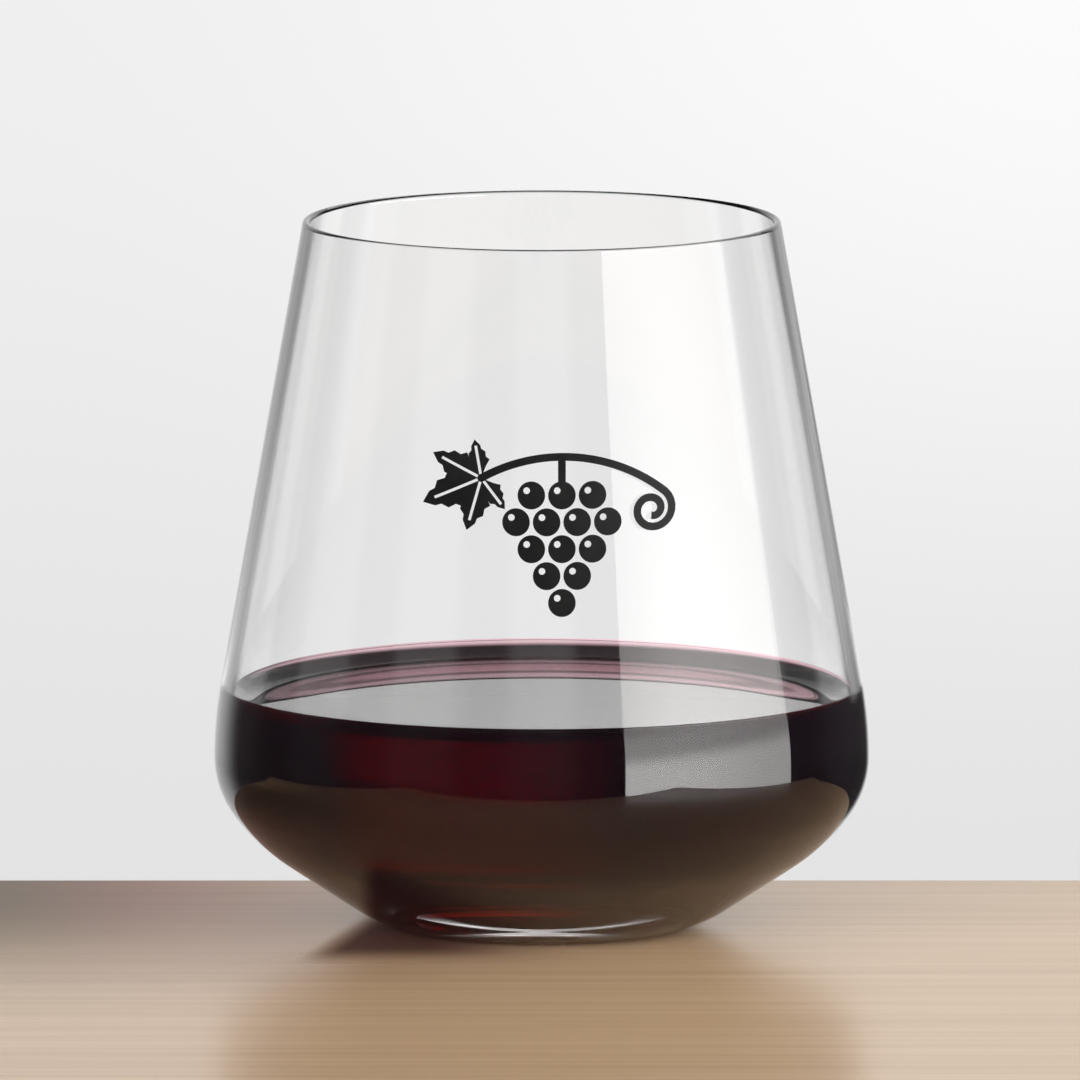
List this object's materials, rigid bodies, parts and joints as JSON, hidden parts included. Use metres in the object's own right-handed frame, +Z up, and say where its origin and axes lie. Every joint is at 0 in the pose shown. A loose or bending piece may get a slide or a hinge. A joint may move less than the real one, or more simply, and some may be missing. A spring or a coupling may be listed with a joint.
{
  "type": "stemless wine glass",
  "caption": "Clear stemless wine glass with a tapered bowl, thick rounded foot, a pour of red wine and a small black printed vine motif.",
  "frame": {"origin": "centre of the foot, on the surface that the glass stands on", "axes": "+Z up along the glass's own axis; the printed side faces -Y"},
  "size_m": [0.0984, 0.0982, 0.1068],
  "materials": {
    "clear_glass": "clear, fire-polished",
    "red_wine": "clear dark red liquid with a mirror-smooth surface",
    "black_ink": "fired screen ink, slightly glossy"
  },
  "bodies": {
    "root": {"glass_body": "clear_glass", "red_wine": "red_wine", "vine_print": "black_ink"}
  },
  "joints": []
}
